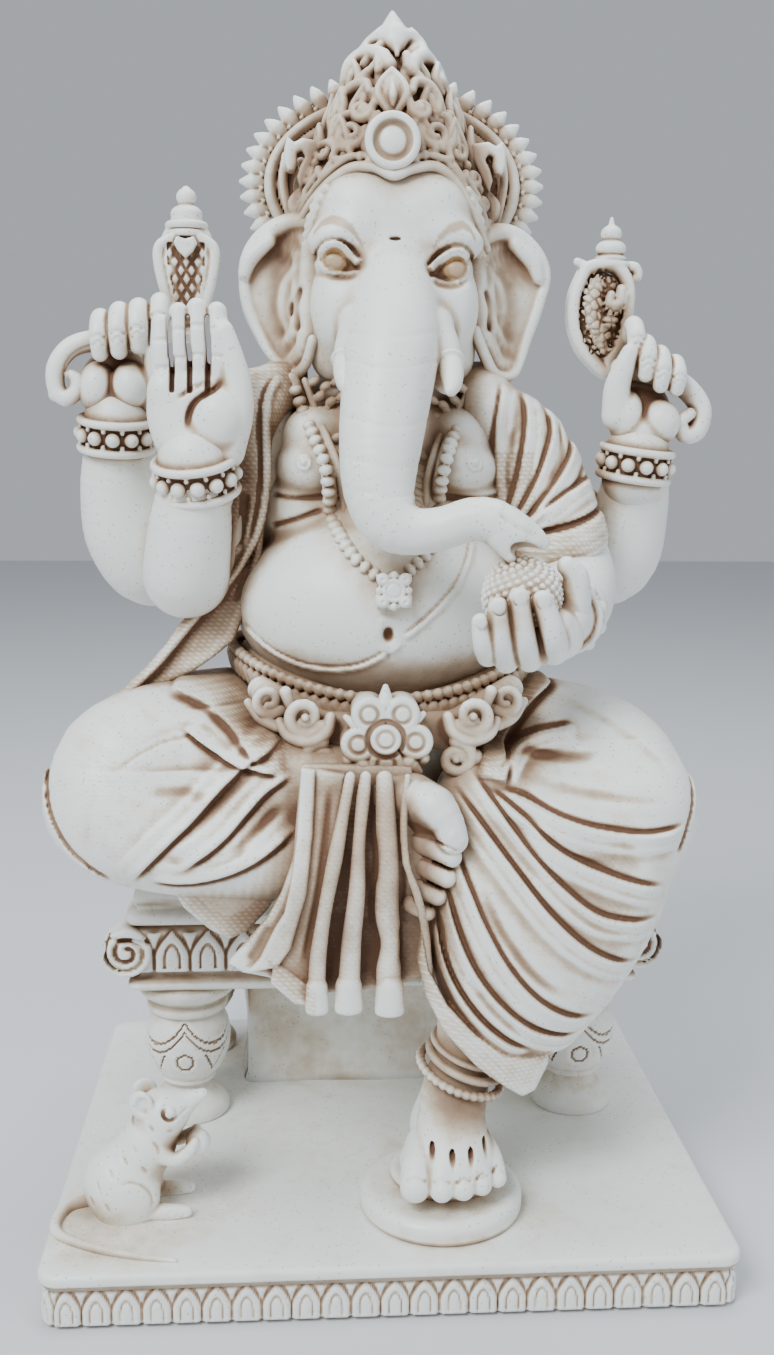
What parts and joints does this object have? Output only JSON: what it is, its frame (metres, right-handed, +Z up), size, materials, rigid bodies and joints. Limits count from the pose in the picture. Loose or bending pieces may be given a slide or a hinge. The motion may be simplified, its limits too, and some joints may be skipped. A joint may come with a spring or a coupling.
{
  "type": "ganesha idol",
  "caption": "Four-armed elephant-headed devotional figure seated on a carved stool, one foot on a round rest, mouse beside it, on a rectangular plinth.",
  "frame": {"origin": "centre of the plinth's underside", "axes": "+Z up; the figure faces -Y; +X is the figure's left"},
  "size_m": [0.2598, 0.204, 0.451],
  "materials": {
    "cast_marble": "satin ivory cast marble dust with a brown wash in the hollows",
    "dowel_steel": "plain steel rod, hidden in the joints"
  },
  "bodies": {
    "root": {"arm_dowels": "dowel_steel", "belt": "cast_marble", "belt_buckle": "cast_marble", "belt_scrolls": "cast_marble", "bracelets": "cast_marble", "crown_band": "cast_marble", "crown_cap": "cast_marble", "crown_halo": "cast_marble", "crown_medallion": "cast_marble", "dhoti_left_shin": "cast_marble", "dhoti_left_thigh": "cast_marble", "dhoti_right_shin": "cast_marble", "dhoti_right_thigh": "cast_marble", "foot_rest": "cast_marble", "foot_rest_step": "cast_marble", "front_pleats": "cast_marble", "halo_petals": "cast_marble", "head": "cast_marble", "hip_dowel": "dowel_steel", "hips": "cast_marble", "left_anklet": "cast_marble", "left_cuff": "cast_marble", "left_ear": "cast_marble", "left_foot": "cast_marble", "left_front_arm": "cast_marble", "left_front_hand": "cast_marble", "left_noose": "cast_marble", "left_rear_arm": "cast_marble", "left_rear_hand": "cast_marble", "left_shawl": "cast_marble", "mouse": "cast_marble", "neck_dowel": "dowel_steel", "necklace": "cast_marble", "necklace_pendant": "cast_marble", "plinth": "cast_marble", "plinth_dowels": "dowel_steel", "plinth_petals": "cast_marble", "right_ear": "cast_marble", "right_foot": "cast_marble", "right_front_arm": "cast_marble", "right_front_hand": "cast_marble", "right_goad": "cast_marble", "right_rear_arm": "cast_marble", "right_rear_hand": "cast_marble", "right_shawl": "cast_marble", "shin_hem": "cast_marble", "stool_board": "cast_marble", "stool_core": "cast_marble", "stool_cushion": "cast_marble", "stool_leg_front_left": "cast_marble", "stool_leg_front_right": "cast_marble", "stool_leg_rear_left": "cast_marble", "stool_leg_rear_right": "cast_marble", "stool_petals": "cast_marble", "stool_scrolls": "cast_marble", "sweet": "cast_marble", "torso": "cast_marble", "trunk": "cast_marble", "tusks": "cast_marble"}
  },
  "joints": []
}
